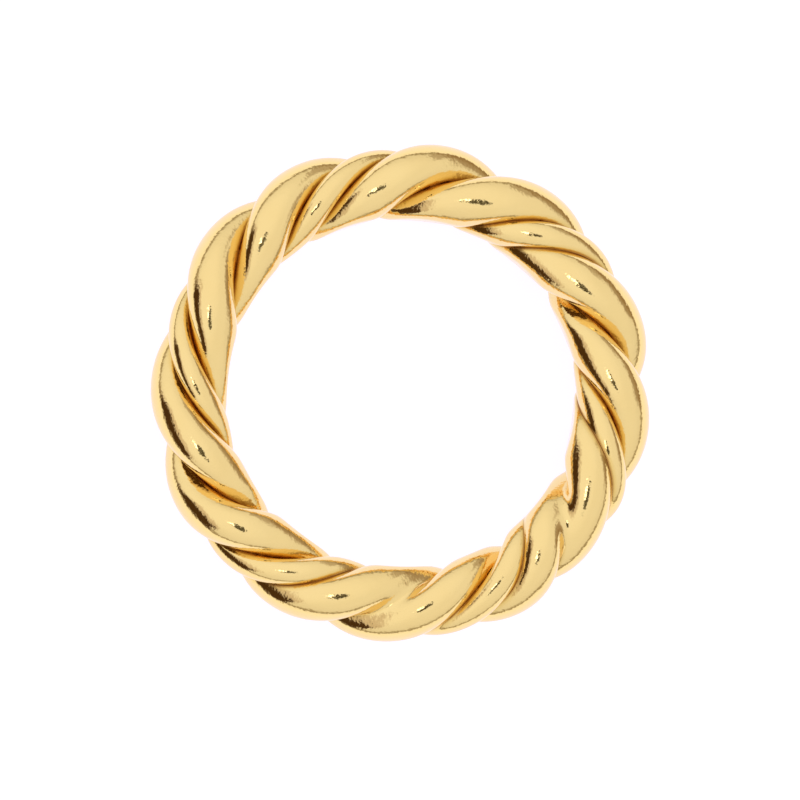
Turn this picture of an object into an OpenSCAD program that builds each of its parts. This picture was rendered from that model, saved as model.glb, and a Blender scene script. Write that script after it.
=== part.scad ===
// Rope twist ring: a closed rope of two wide round wires and one slim one, twisted by hand,
// bent round a mandrel and pressed smooth on the finger side. It lies flat, axis upright.

/* [Finger] */
// Inside diameter, where the rope was pressed on the mandrel
finger_d = 17.1; // [14:0.1:23]
// Depth by which the mandrel pressed the finger side of the wide wires
press = 0.28; // [0:0.01:0.6]
// Length over which the pressed side rounds off into the free wire
press_edge = 0.08; // [0.03:0.01:0.2]

/* [Wires] */
// Diameter of each of the two wide wires
wide_d = 2.1; // [1.5:0.05:3]
// Diameter of the slim wire
slim_d = 1.2; // [0.9:0.05:2]
// Depth by which the two wide wires were pressed into each other
clench = 0.27; // [0:0.01:0.4]
// Distance from the middle of the rope to the line between the wide wires' centres
wide_inset = 0.29; // [0.1:0.01:0.5]
// Distance from the middle of the rope to the near side of the slim wire
slim_seat = 0.59; // [0.4:0.01:0.9]
// How much wider than round each wire was squeezed, along the skin of the rope
squeeze = 1.06; // [1:0.01:1.12]
// Clearance between neighbouring wires
wire_gap = 0.04; // [0.02:0.01:0.1]

/* [Twist] */
// Whole turns of the rope on its way round the ring
turns = 6; // [4:1:9]
// Direction in which the two wide wires meet on the outside, in degrees from +X
first_meet = 8.7; // [0:0.1:60]

/* [Fineness] */
// Sections along each turn of the rope
sections_per_turn = 24; // [12:1:30]
// Sides of a wide wire's section
wide_sides = 18; // [12:1:24]
// Sides of the slim wire's section
slim_sides = 12; // [8:1:18]

/* [Hidden] */

gold_tone = [0.91, 0.74, 0.42];

// The wires, in the order of the columns of the two tables below
WIRES = ["wide a", "slim", "wide b"];

// How far each wire runs ahead of an even twist, as a share of a turn of the rope.
// There is a row for each half turn: a wire's first row is where it is outermost,
// the next where it is innermost. The last rows are the seam, where the wires crowd.
AHEAD = [
    [ 0.08,  0.10,  0.11],
    [ 0.04,  0.06,  0.05],
    [ 0.04,  0.05,  0.03],
    [ 0.04,  0.02,  0.03],
    [ 0.02, -0.01, -0.05],
    [-0.02, -0.07, -0.08],
    [-0.11, -0.07, -0.06],
    [-0.07, -0.10, -0.06],
    [-0.08, -0.04, -0.06],
    [-0.06, -0.08,  0.08],
    [ 0.06,  0.12,  0.11],
    [ 0.03,  0.07,  0.09],
];

// Size of each wire and of its distance from the middle of the rope, as a share of
// the even one, in the same rows
SHARE = [
    [1.05, 1.04, 1.04],
    [0.99, 1.05, 1.00],
    [1.03, 0.96, 1.01],
    [1.00, 0.97, 0.98],
    [1.03, 0.93, 1.00],
    [1.01, 0.97, 0.95],
    [1.05, 0.99, 0.98],
    [0.99, 0.99, 0.99],
    [0.98, 0.98, 0.99],
    [0.90, 1.05, 0.99],
    [0.90, 0.99, 1.00],
    [1.06, 1.00, 0.98],
];

finger_r = finger_d / 2;
wide_r = wide_d / 2;
slim_r = slim_d / 2;
half_base = wide_r + (wire_gap - clench) / 2;
wide_offset = norm([half_base, wide_inset]);
wide_angle = atan2(half_base, wide_inset);
slim_offset = slim_seat + slim_r;
core_r = finger_r + wide_offset + wide_r - press;

// For each wire: place in the twist, distance from the middle of the rope, radius and sides
REST_ANGLE = [wide_angle, 180, 360 - wide_angle];
REST_OFFSET = [wide_offset, slim_offset, wide_offset];
REST_R = [wide_r, slim_r, wide_r];
SIDES = [wide_sides, slim_sides, wide_sides];

half_turns = 2 * turns;
sections = turns * sections_per_turn;

function wrapped(i, n) = ((i % n) + n) % n;
function cell(table, wire, i) = table[wrapped(i, half_turns) % len(table)][wire];

// Smooth curve through one column of a table, at u half turns
function along(table, wire, u) =
    let (i = floor(u), f = u - i,
         a = cell(table, wire, i - 1), b = cell(table, wire, i),
         c = cell(table, wire, i + 1), d = cell(table, wire, i + 2))
    b + f / 2 * (c - a + f * (2 * a - 5 * b + 4 * c - d + f * (3 * b - 3 * c + d - a)));

// One wire cut by the upright plane at direction t: its phase round the rope, its centre
// [outward, up] from the middle of the rope, its depth and its width. The cut is oblique
// to the wire, and so wider than the wire.
function wire_cut(wire, t) =
    let (u = half_turns * (t - first_meet) / 360 - REST_ANGLE[wire] / 180,
         phase = turns * (t - first_meet) - REST_ANGLE[wire] + 360 * along(AHEAD, wire, u),
         share = along(SHARE, wire, u),
         reach = REST_OFFSET[wire] * share,
         depth = REST_R[wire] * share,
         lay = turns * reach / (core_r + reach * cos(phase)))
    [phase, reach * [cos(phase), sin(phase)], depth, depth * squeeze * norm([1, lay])];
function phase_of(cut) = cut[0];
function centre_of(cut) = cut[1];
function depth_of(cut) = cut[2];
function width_of(cut) = cut[3];

// Distance from a wire's centre to its skin, and to its furthest point, in direction beta
function skin(cut, beta) =
    let (turned = beta - phase_of(cut))
    1 / norm([cos(turned) / depth_of(cut), sin(turned) / width_of(cut)]);
function span(cut, beta) =
    let (turned = beta - phase_of(cut))
    norm([cos(turned) * depth_of(cut), sin(turned) * width_of(cut)]);

// Where a wire presses on its neighbour both are flat, with the gap between the flats
function flat(cut, other, beta) =
    let (way = centre_of(other) - centre_of(cut),
         toward = atan2(way[1], way[0]),
         mine = span(cut, toward),
         reach = norm(way) * mine / (mine + span(other, toward)) - wire_gap / 2,
         facing = cos(beta - toward))
    facing > 0 ? reach / facing : skin(cut, beta);

// The mandrel pushes what would lie inside the finger hole out onto its own surface
function pressed(r) = finger_r + press_edge * ln(1 + exp((r - finger_r) / press_edge));

// The outline of one wire in the plane at direction t
function wire_section(wire, t) =
    let (cuts = [for (w = [0 : len(WIRES) - 1]) wire_cut(w, t)],
         cut = cuts[wire],
         others = [for (other = cuts) if (other != cut) other])
    [for (k = [0 : SIDES[wire] - 1])
        let (beta = phase_of(cut) + 360 * k / SIDES[wire],
             reach = min([skin(cut, beta), for (other = others) flat(cut, other, beta)]),
             p = centre_of(cut) + reach * [cos(beta), sin(beta)],
             r = pressed(core_r + p[0]))
        [r * cos(t), r * sin(t), p[1]]];

function wire_skin(wire) =
    [for (s = [0 : sections - 1]) each wire_section(wire, 360 * s / sections)];

skins = [for (w = [0 : len(WIRES) - 1]) wire_skin(w)];

// The lowest point of the rope rests at z = 0
lift = -min([for (s = skins) for (p = s) p[2]]);

// An endless wire: the last section joins the first
module endless_wire(name) {
    wire = search([name], WIRES)[0];
    sides = SIDES[wire];
    faces = [
        for (s = [0 : sections - 1], k = [0 : sides - 1])
            let (here = s * sides, next = (s + 1) % sections * sides, k2 = (k + 1) % sides)
            each [
                [here + k, here + k2, next + k],
                [here + k2, next + k2, next + k],
            ]
    ];
    translate([0, 0, lift])
        polyhedron(skins[wire], faces, convexity = 10);
}

module strand_wide_a() {
    color(gold_tone) endless_wire("wide a");
}

module strand_slim() {
    color(gold_tone) endless_wire("slim");
}

module strand_wide_b() {
    color(gold_tone) endless_wire("wide b");
}

strand_wide_a();
strand_slim();
strand_wide_b();
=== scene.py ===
import math
from collections import namedtuple

import bpy
import numpy as np
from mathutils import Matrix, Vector


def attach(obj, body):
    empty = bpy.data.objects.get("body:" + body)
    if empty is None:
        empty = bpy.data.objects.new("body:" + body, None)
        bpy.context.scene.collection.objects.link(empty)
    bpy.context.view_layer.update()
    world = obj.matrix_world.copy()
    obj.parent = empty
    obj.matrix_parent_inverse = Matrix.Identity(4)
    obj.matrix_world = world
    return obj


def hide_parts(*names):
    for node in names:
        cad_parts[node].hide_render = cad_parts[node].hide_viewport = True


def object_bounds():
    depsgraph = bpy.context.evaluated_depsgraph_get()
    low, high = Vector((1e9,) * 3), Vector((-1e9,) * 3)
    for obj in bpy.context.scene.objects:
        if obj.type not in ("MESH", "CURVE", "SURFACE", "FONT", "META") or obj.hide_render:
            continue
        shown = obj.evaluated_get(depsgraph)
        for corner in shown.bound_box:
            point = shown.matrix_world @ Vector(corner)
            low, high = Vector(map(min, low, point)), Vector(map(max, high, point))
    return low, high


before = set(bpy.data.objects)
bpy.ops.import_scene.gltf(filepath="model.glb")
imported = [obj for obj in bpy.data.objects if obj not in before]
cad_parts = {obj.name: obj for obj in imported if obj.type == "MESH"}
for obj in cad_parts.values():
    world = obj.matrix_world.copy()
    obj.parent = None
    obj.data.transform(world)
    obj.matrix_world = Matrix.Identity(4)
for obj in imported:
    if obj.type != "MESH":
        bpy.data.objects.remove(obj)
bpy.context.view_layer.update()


# The rope
# Three endless gold-plated brass wires, two wide and one slim, twisted together by hand,
# bent round a mandrel into a ring and soldered where the ends meet. The mandrel pressed
# the finger side smooth, and the whole ring was polished afterwards.

MM = 0.001
FINGER_R = 8.55 * MM
PRESS = 0.28 * MM
PRESS_EDGE = 0.08 * MM
WIDE_R = 1.05 * MM
SLIM_R = 0.6 * MM
CLENCH = 0.27 * MM
WIDE_INSET = 0.29 * MM
SLIM_SEAT = 0.59 * MM
SQUEEZE = 1.06
WIRE_GAP = 0.04 * MM
TURNS = 6
FIRST_MEET = math.radians(8.7)
NAMES = ("strand_wide_a", "strand_slim", "strand_wide_b")

# A row for each half turn of the rope, and a column for each wire in the order of NAMES.
# AHEAD is how far the wire runs ahead of an even twist, in turns. SHARE is its share
# of the even size.
AHEAD = np.array([
    [0.08, 0.10, 0.11],
    [0.04, 0.06, 0.05],
    [0.04, 0.05, 0.03],
    [0.04, 0.02, 0.03],
    [0.02, -0.01, -0.05],
    [-0.02, -0.07, -0.08],
    [-0.11, -0.07, -0.06],
    [-0.07, -0.10, -0.06],
    [-0.08, -0.04, -0.06],
    [-0.06, -0.08, 0.08],
    [0.06, 0.12, 0.11],
    [0.03, 0.07, 0.09],
])
SHARE = np.array([
    [1.05, 1.04, 1.04],
    [0.99, 1.05, 1.00],
    [1.03, 0.96, 1.01],
    [1.00, 0.97, 0.98],
    [1.03, 0.93, 1.00],
    [1.01, 0.97, 0.95],
    [1.05, 0.99, 0.98],
    [0.99, 0.99, 0.99],
    [0.98, 0.98, 0.99],
    [0.90, 1.05, 0.99],
    [0.90, 0.99, 1.00],
    [1.06, 1.00, 0.98],
])

HALF_BASE = WIDE_R + (WIRE_GAP - CLENCH) / 2
WIDE_OFFSET = math.hypot(HALF_BASE, WIDE_INSET)
WIDE_ANGLE = math.atan2(HALF_BASE, WIDE_INSET)
CORE_R = FINGER_R + WIDE_OFFSET + WIDE_R - PRESS
REST_ANGLE = [WIDE_ANGLE, math.pi, 2 * math.pi - WIDE_ANGLE]
REST_OFFSET = [WIDE_OFFSET, SLIM_SEAT + SLIM_R, WIDE_OFFSET]
REST_R = [WIDE_R, SLIM_R, WIDE_R]

# A wire cut by upright planes: its phase round the rope, its centre outward and up from
# the middle of the rope, its depth and its width
Cut = namedtuple("Cut", "phase x z depth width")


def along(table, wire, u):
    """Smooth curve through one column of a table, at u half turns."""
    row = np.floor(u).astype(int)
    f = u - row
    a, b, c, d = (table[(row + k) % len(table), wire] for k in (-1, 0, 1, 2))
    return b + f / 2 * (c - a + f * (2 * a - 5 * b + 4 * c - d + f * (3 * (b - c) + d - a)))


def wire_cut(wire, t):
    """One wire cut by the upright planes at directions t."""
    u = TURNS * (t - FIRST_MEET) / math.pi - REST_ANGLE[wire] / math.pi
    phase = TURNS * (t - FIRST_MEET) - REST_ANGLE[wire] + 2 * math.pi * along(AHEAD, wire, u)
    share = along(SHARE, wire, u)
    reach = REST_OFFSET[wire] * share
    depth = REST_R[wire] * share
    lay = TURNS * reach / (CORE_R + reach * np.cos(phase))
    width = depth * SQUEEZE * np.hypot(1, lay)
    return Cut(phase, reach * np.cos(phase), reach * np.sin(phase), depth, width)


def outside(cut, x, z):
    """Roughly how far a point is outside a wire's skin."""
    deep = (x - cut.x) * np.cos(cut.phase) + (z - cut.z) * np.sin(cut.phase)
    wide = (z - cut.z) * np.cos(cut.phase) - (x - cut.x) * np.sin(cut.phase)
    return (np.hypot(deep / cut.depth, wide / cut.width) - 1) * cut.depth


# Solder and plating round off the bottom of the grooves, down to a hairline between two
# wires. Each row of SOLDER is a place where more of it ran in: direction in degrees,
# half length in degrees, extra radius in mm.
THIN_FILL = 0.03 * MM
THIN_GAP = 0.01 * MM
SOLDER = [(-37, 8, 0.36), (-64, 6, 0.04), (-91, 10, 0.24), (-130, 7, 0.015)]


def solder_at(t):
    """How much of the extra solder lies at directions t, as a radius."""
    extra = np.zeros(t.shape)
    for at, length, radius in SOLDER:
        away = np.angle(np.exp(1j * (t - math.radians(at)))) / math.radians(length)
        extra += radius * MM * np.exp(-away ** 2)
    return extra


# Halvings in the two searches below, and a bound that keeps the exponentials finite
REACH_STEPS, EDGE_STEPS = 26, 14
EXP_LIMIT = 60


def reach_of(cuts, wire, fill, gap, beta):
    """How far a wire reaches from its centre at angles beta, and whether its skin is bare there."""
    own_cut = cuts[wire]

    def measure(r):
        x, z = own_cut.x + r * np.cos(beta), own_cut.z + r * np.sin(beta)
        far = [outside(cut, x, z) for cut in cuts]
        metal = sum(np.exp(-np.clip(f / fill, -EXP_LIMIT, EXP_LIMIT)) for f in far) > 1
        return metal, far[wire] + gap < np.minimum(far[wire - 1], far[wire - 2])

    low, high = np.zeros(beta.shape), np.full(beta.shape, 3 * WIDE_R)
    for _ in range(REACH_STEPS):
        middle = (low + high) / 2
        metal, own = measure(middle)
        low, high = np.where(metal & own, middle, low), np.where(metal & own, high, middle)
    return low, ~measure(high)[0]


def wire_section(cuts, wire, t, sides):
    """Outline of one wire in each upright plane, from the middle of the rope."""
    fill = THIN_FILL + solder_at(t)
    gap = THIN_GAP * np.exp(-solder_at(t) / THIN_FILL)
    turn = 2 * math.pi / sides
    beta = cuts[wire].phase + np.arange(sides) * turn
    reach, bare = reach_of(cuts, wire, fill, gap, beta)
    # Each hidden point next to the bare skin moves up to its edge
    for way in (1, -1):
        row, side = np.nonzero(~bare & np.roll(bare, -way, axis=1))
        here = [Cut(*(value[row, 0] for value in cut)) for cut in cuts]
        hidden, shown = beta[row, side], beta[row, side] + way * turn
        for _ in range(EDGE_STEPS):
            middle = (hidden + shown) / 2
            _, is_bare = reach_of(here, wire, fill[row, 0], gap[row, 0], middle)
            hidden, shown = np.where(is_bare, hidden, middle), np.where(is_bare, middle, shown)
        beta[row, side] = shown
        reach[row, side], _ = reach_of(here, wire, fill[row, 0], gap[row, 0], shown)
    return cuts[wire].x + reach * np.cos(beta), cuts[wire].z + reach * np.sin(beta)


def distance(x, z, outline):
    """How far the points of one outline are from another outline in the same plane."""
    least = np.full(x.shape, np.inf)
    for k in range(outline[0].shape[1]):
        ax, az = outline[0][:, k - 1, None], outline[1][:, k - 1, None]
        ex, ez = outline[0][:, k, None] - ax, outline[1][:, k, None] - az
        share = np.clip(((x - ax) * ex + (z - az) * ez) / (ex * ex + ez * ez), 0, 1)
        least = np.minimum(least, np.hypot(x - ax - share * ex, z - az - share * ez))
    return least


# Edges bent more than this stay sharp, as where two wires meet
SHARP_ANGLE = math.radians(40)


def ring_mesh(name, points):
    """A closed mesh through the points, joined end to end both ways."""
    sections, sides = points.shape[:2]
    index = np.arange(sections * sides).reshape(sections, sides)
    after, beside = np.roll(index, -1, axis=0), np.roll(index, -1, axis=1)
    both = np.roll(after, -1, axis=1)
    quads = np.stack([index, after, both, beside], axis=-1).reshape(-1, 4)
    mesh = bpy.data.meshes.new(name)
    mesh.vertices.add(sections * sides)
    mesh.vertices.foreach_set("co", points.reshape(-1))
    mesh.loops.add(quads.size)
    mesh.loops.foreach_set("vertex_index", quads.reshape(-1))
    mesh.polygons.add(len(quads))
    mesh.polygons.foreach_set("loop_start", np.arange(len(quads)) * 4)
    mesh.update(calc_edges=True)
    mesh.shade_smooth()
    mesh.set_sharp_from_angle(angle=SHARP_ANGLE)
    piece = bpy.data.objects.new(name, mesh)
    bpy.context.scene.collection.objects.link(piece)
    return piece


class Signal:
    """A shader socket. Python operators on it add Math nodes."""

    def __init__(self, tree, socket=None):
        self.tree = tree
        self.socket = socket

    def node(self, kind, settings, sockets, output=0):
        made = self.tree.nodes.new(kind)
        for name, value in settings.items():
            if name == "stops":
                ramp = made.color_ramp.elements
                while len(ramp) < len(value):
                    ramp.new(0.5)
                for stop, (place, color) in zip(ramp, value):
                    stop.position = place
                    stop.color = color
            else:
                setattr(made, name, value)
        for name, value in sockets.items():
            target = next(s for s in made.inputs if name in (s.identifier, s.name))
            if isinstance(value, Signal):
                self.tree.links.new(value.socket, target)
            else:
                target.default_value = value
        if isinstance(output, int):
            return Signal(self.tree, made.outputs[output])
        return Signal(self.tree, next(s for s in made.outputs if output in (s.identifier, s.name)))

    def math(self, operation, first, second=0.0):
        sockets = {"Value": first, "Value_001": second}
        return self.node("ShaderNodeMath", {"operation": operation}, sockets)

    def __add__(self, other):
        return self.math("ADD", self, other)

    __radd__ = __add__

    def __sub__(self, other):
        return self.math("SUBTRACT", self, other)

    def __rsub__(self, other):
        return self.math("SUBTRACT", other, self)

    def __mul__(self, other):
        return self.math("MULTIPLY", self, other)

    __rmul__ = __mul__

    def __truediv__(self, other):
        return self.math("DIVIDE", self, other)

    def __rtruediv__(self, other):
        return self.math("DIVIDE", other, self)


def noise(where, scale, detail, w=None):
    """Noise from 0 to 1, in three dimensions, or in four with w."""
    sockets = {"Vector": where, "Scale": scale, "Detail": detail}
    if w is None:
        return where.node("ShaderNodeTexNoise", {}, sockets, "Fac")
    return where.node("ShaderNodeTexNoise", {"noise_dimensions": "4D"}, {**sockets, "W": w}, "Fac")


def soft_step(value, start, end):
    """0 up to start, 1 from end, and smooth between."""
    return value.node("ShaderNodeMapRange", {"interpolation_type": "SMOOTHSTEP"},
                      {"Value": value, "From Min": start, "From Max": end})


def tint(factor, below, above):
    """The colour below, covered by the colour above as far as the factor says."""
    return factor.node("ShaderNodeMix", {"data_type": "RGBA"}, {
        "Factor_Float": factor, "A_Color": below, "B_Color": above}, "Result_Color")


PALE_GOLD = (0.96, 0.73, 0.34, 1)
WARM_GOLD = (0.93, 0.69, 0.30, 1)
# Painted shade: a shaded copy of the gold for the grooves, then a dark red-brown for the crease where
# two wires meet
SHADED_GROOVE_GOLD = (0.85, 0.585, 0.19, 1)
CREASE_SHADE = (0.40, 0.16, 0.03, 1)
PEEL_HEIGHT = 0.01 * MM


def polished_gold():
    """Polished gold plating, darkened with painted shade down in the grooves and the creases between
    the wires.
    """
    material = bpy.data.materials.new("polished_gold")
    material.use_nodes = True
    tree = material.node_tree
    shader = next(n for n in tree.nodes if n.type == "BSDF_PRINCIPLED")
    gold = Signal(tree)
    place = gold.node("ShaderNodeTexCoord", {}, {}, "Object")
    apart = gold.node("ShaderNodeAttribute", {"attribute_name": "apart"}, {}, "Fac")
    along_wire = gold.node("ShaderNodeAttribute", {"attribute_name": "along_wire"}, {}, "Vector")
    across = gold.node("ShaderNodeAttribute", {"attribute_name": "across"}, {}, "Fac")
    # Colour, from the bare crown of a wire down to the bottom of a groove, with painted shade towards
    # the groove and its crease. Specks fray the edge of the painted shade.
    cloud = noise(place, scale=600.0, detail=3.0)
    speckle = noise(place, scale=3500.0, detail=2.0)
    room = apart + 0.05 * (speckle - 0.5)
    # Painted shade: deep tints the gold darker towards each groove, crease_shade darkens the crease
    # where two wires meet
    deep = 1 - soft_step(room, start=0.05, end=0.45)
    crease_shade = 1 - soft_step(room, start=0.0, end=0.22)
    tone = tint(cloud, WARM_GOLD, PALE_GOLD)
    tone = tint(deep, tone, SHADED_GROOVE_GOLD)
    tone = tint(0.95 * crease_shade, tone, CREASE_SHADE)
    tree.links.new(tone.socket, shader.inputs["Base Color"])
    shader.inputs["Metallic"].default_value = 1.0
    # Polish, with hairlines along the wire
    lines = noise(along_wire, scale=1.0, detail=3.0, w=across)
    rough = 0.04 + 0.05 * lines + 0.03 * cloud + 0.25 * crease_shade
    tree.links.new(rough.socket, shader.inputs["Roughness"])
    # Orange peel of three sizes
    peel = noise(place, scale=1400.0, detail=1.0)
    dapple = noise(place, scale=3000.0, detail=2.0)
    grain = noise(place, scale=9000.0, detail=0.0)
    height = 0.5 * peel + 1.3 * dapple + 0.3 * grain + 0.08 * lines
    bump = gold.node("ShaderNodeBump", {}, {"Strength": 1.0, "Distance": PEEL_HEIGHT, "Height": height})
    tree.links.new(bump.socket, shader.inputs["Normal"])
    return material


gold_material = polished_gold()
SECTIONS, SIDES = 960, 96
t = np.arange(SECTIONS)[:, None] * 2 * math.pi / SECTIONS
cuts = [wire_cut(wire, t) for wire in range(len(NAMES))]
outlines = [wire_section(cuts, wire, t, SIDES) for wire in range(len(NAMES))]
lift = -min(z.min() for _, z in outlines)

# Hairlines are far longer than wide: few of them round the ring, and many round a wire
LINES_ROUND_RING, LINES_ROUND_WIRE = 12, 40
round_wire, round_ring = np.broadcast_arrays(np.arange(SIDES) * 2 * math.pi / SIDES, t)
across = LINES_ROUND_WIRE * np.sin(round_wire)
along_wire = np.stack([LINES_ROUND_RING * np.cos(round_ring), LINES_ROUND_RING * np.sin(round_ring),
                       LINES_ROUND_WIRE * np.cos(round_wire)], axis=-1)

# The painted shade keeps off the extra solder, which counts as room, this many times its radius
SOLDER_ROOM = 1.5
for wire, name in enumerate(NAMES):
    x, z = outlines[wire]
    apart = np.min([distance(x, z, o) for k, o in enumerate(outlines) if k != wire], axis=0)
    apart += SOLDER_ROOM * solder_at(t)
    # The mandrel pushes what would lie inside the finger hole out onto its own surface
    r = FINGER_R + PRESS_EDGE * np.logaddexp(0, (CORE_R + x - FINGER_R) / PRESS_EDGE)
    points = np.stack([r * np.cos(t), r * np.sin(t), z + lift], axis=-1)
    piece = ring_mesh(name + "_polished", points)
    for label, values in (("apart", apart / MM), ("across", across), ("along_wire", along_wire)):
        kind, field = ("FLOAT_VECTOR", "vector") if values.ndim == 3 else ("FLOAT", "value")
        layer = piece.data.attributes.new(label, kind, "POINT")
        layer.data.foreach_set(field, values.reshape(-1))
    piece.data.materials.append(gold_material)
    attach(piece, "root")
    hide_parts(name)


new_low, new_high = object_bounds()


# The floor
# A tabletop covered with plain white paper, on which the ring lies flat. The paper has a
# soft glow of its own, which stands for most of the light that falls on it.

FLOOR_HALF = 0.6
PAPER_GREY = 0.25
GLOW_REACH = 0.25
GLOW_STRENGTH = 1.1
# Colour of the glow, by distance from the middle as a share of GLOW_REACH: a painted pool of light,
# bluish as far as the ring reaches, then white, then fading to a warm grey
GLOW = [
    (0.0, (0.77, 0.765, 0.97, 1)),
    (0.056, (0.77, 0.765, 0.97, 1)),
    (0.1, (0.79, 0.79, 0.81, 1)),
    (0.118, (0.79, 0.79, 0.80, 1)),
    (1.0, (0.38, 0.34, 0.28, 1)),
]

floor_mesh = bpy.data.meshes.new("floor")
corners = [(FLOOR_HALF * x, FLOOR_HALF * y, 0) for x, y in ((-1, -1), (1, -1), (1, 1), (-1, 1))]
floor_mesh.from_pydata(corners, [], [(0, 1, 2, 3)])
floor = bpy.data.objects.new("floor", floor_mesh)
bpy.context.scene.collection.objects.link(floor)
paper = bpy.data.materials.new("white_paper")
paper.use_nodes = True
paper_shader = next(n for n in paper.node_tree.nodes if n.type == "BSDF_PRINCIPLED")
paper_shader.inputs["Base Color"].default_value = (PAPER_GREY, PAPER_GREY, PAPER_GREY, 1)
paper_shader.inputs["Roughness"].default_value = 0.9
paper_shader.inputs["Specular IOR Level"].default_value = 0.1
sheet = Signal(paper.node_tree)
spread = sheet.node("ShaderNodeVectorMath", {"operation": "LENGTH"}, {
    "Vector": sheet.node("ShaderNodeTexCoord", {}, {}, "Object")}, "Value")
glow = sheet.node("ShaderNodeValToRGB", {"stops": GLOW}, {"Fac": spread / GLOW_REACH})
paper.node_tree.links.new(glow.socket, paper_shader.inputs["Emission Color"])
paper_shader.inputs["Emission Strength"].default_value = GLOW_STRENGTH
floor_mesh.materials.append(paper)


# The studio
# A tent of white cloth over the table. A doorway into a dark room stands open on its left,
# something brown stands outside it on the right, and the lens looks in through the top.

CLOTH_LOW = (0.83, 0.82, 0.79, 1)
CLOTH_HIGH = (0.91, 0.905, 0.88, 1)
CLOTH_BRIGHT = (1.0, 1.0, 0.985, 1)
HEM_BROWN = (0.25, 0.18, 0.08, 1)
BROWN = (0.30, 0.20, 0.10, 1)
REDDISH = (0.42, 0.27, 0.18, 1)
DARK_ROOM = (0.07, 0.035, 0.012, 1)
LENS_DARK = (0.10, 0.09, 0.06, 1)
LENS_GLINT = (3, 3, 3, 1)

world = bpy.data.worlds.new("studio")
bpy.context.scene.world = world
world.use_nodes = True
sky = Signal(world.node_tree)
direction = sky.node("ShaderNodeTexCoord", {}, {}, "Generated")
dir_x, dir_y, dir_z = (
    sky.node("ShaderNodeSeparateXYZ", {}, {"Vector": direction}, axis) for axis in "XYZ")


def ragged(value, scale, amount):
    """Breaks up an edge, as folds in the cloth do."""
    return value + amount * (noise(direction, scale=scale, detail=4.0) - 0.5)


def between(value, low, high, edge):
    """1 between low and high, 0 past them, with soft edges."""
    return soft_step(value, low - edge, low + edge) * (1 - soft_step(value, high - edge, high + edge))


def wall_panel(side, left, right, bottom, top, edge):
    """1 inside an upright patch seen past the tent's side, whose distance is 1."""
    away = sky.math("MAXIMUM", side * dir_x, 0.01)
    sideways = ragged(dir_y / away, scale=11.0, amount=0.5)
    upward = ragged(dir_z / away, scale=14.0, amount=0.4)
    return between(sideways, left, right, edge) * between(upward, bottom, top, edge)


def spot(azimuth, elevation, radius, edge, amount=0.0):
    """1 inside a round patch of the tent, 0 outside. Angles are in degrees."""
    a, e = math.radians(azimuth), math.radians(elevation)
    aim = (math.cos(a) * math.cos(e), math.sin(a) * math.cos(e), math.sin(e))
    near = ragged(dir_x * aim[0] + dir_y * aim[1] + dir_z * aim[2], scale=28.0, amount=amount)
    return soft_step(near, math.cos(math.radians(radius + edge)), math.cos(math.radians(radius)))


cloth = tint(soft_step(dir_z, start=0.05, end=0.7), CLOTH_LOW, CLOTH_HIGH)
cloth = tint(spot(azimuth=150, elevation=60, radius=10, edge=55), cloth, CLOTH_BRIGHT)
hem = 1 - soft_step(dir_z, start=0.05, end=0.22)
tent = tint(0.75 * hem, cloth, HEM_BROWN)

# Outside on the right, something low and brown, and something taller behind it
low_brown = wall_panel(side=1, left=-0.1, right=1.15, bottom=-0.3, top=0.45, edge=0.15)
tall_brown = wall_panel(side=1, left=0.9, right=2.4, bottom=-0.3, top=0.85, edge=0.2)
tent = tint(0.8 * low_brown, tent, BROWN)
tent = tint(0.6 * tall_brown, tent, BROWN)

# On the left, the doorway and its reddish frame
door_frame = wall_panel(side=-1, left=-0.9, right=0.5, bottom=0.1, top=0.95, edge=0.15)
doorway = wall_panel(side=-1, left=-0.85, right=0.42, bottom=0.05, top=0.62, edge=0.05)
tent = tint(0.5 * door_frame, tent, REDDISH)
tent = tint(doorway, tent, DARK_ROOM)

# At the top, the lens and the light that it catches
lens = spot(azimuth=231, elevation=79, radius=7.6, edge=2.0, amount=0.022)
glint = spot(azimuth=200, elevation=76, radius=3.0, edge=1.5, amount=0.004)
tent = tint(lens, tent, LENS_DARK)
tent = tint(glint, tent, LENS_GLINT)
background = next(n for n in world.node_tree.nodes if n.type == "BACKGROUND")
world.node_tree.links.new(tent.socket, background.inputs["Color"])


# The camera
# High above, a few degrees off the finger hole's axis, and far enough away to show
# hardly any perspective.

# RING_AT is the pixel of the ring's middle, from the upper left corner of the image
MM_PER_PIXEL = 0.0491
IMAGE_PIXELS = 800
RING_AT = (401.0, 393.1)
DISTANCE = 1.0
SENSOR_MM = 36

middle = Vector((0, 0, (new_high[2] + new_low[2]) / 2))
toward_camera = Vector((-0.074, -0.074, 1)).normalized()
camera_data = bpy.data.cameras.new("camera")
camera_data.sensor_width = SENSOR_MM
camera_data.lens = SENSOR_MM * DISTANCE / (IMAGE_PIXELS * MM_PER_PIXEL * MM)
camera_data.clip_end = 10
camera = bpy.data.objects.new("camera", camera_data)
turn = Vector((0, 0, 1)).rotation_difference(toward_camera)
from_middle = Vector((IMAGE_PIXELS / 2 - RING_AT[0], RING_AT[1] - IMAGE_PIXELS / 2, 0))
offset = turn @ from_middle * MM_PER_PIXEL * MM
camera.location = middle + DISTANCE * toward_camera + offset
camera.rotation_euler = turn.to_euler()
bpy.context.scene.collection.objects.link(camera)
bpy.context.scene.camera = camera
bpy.context.scene.view_settings.view_transform = "Standard"
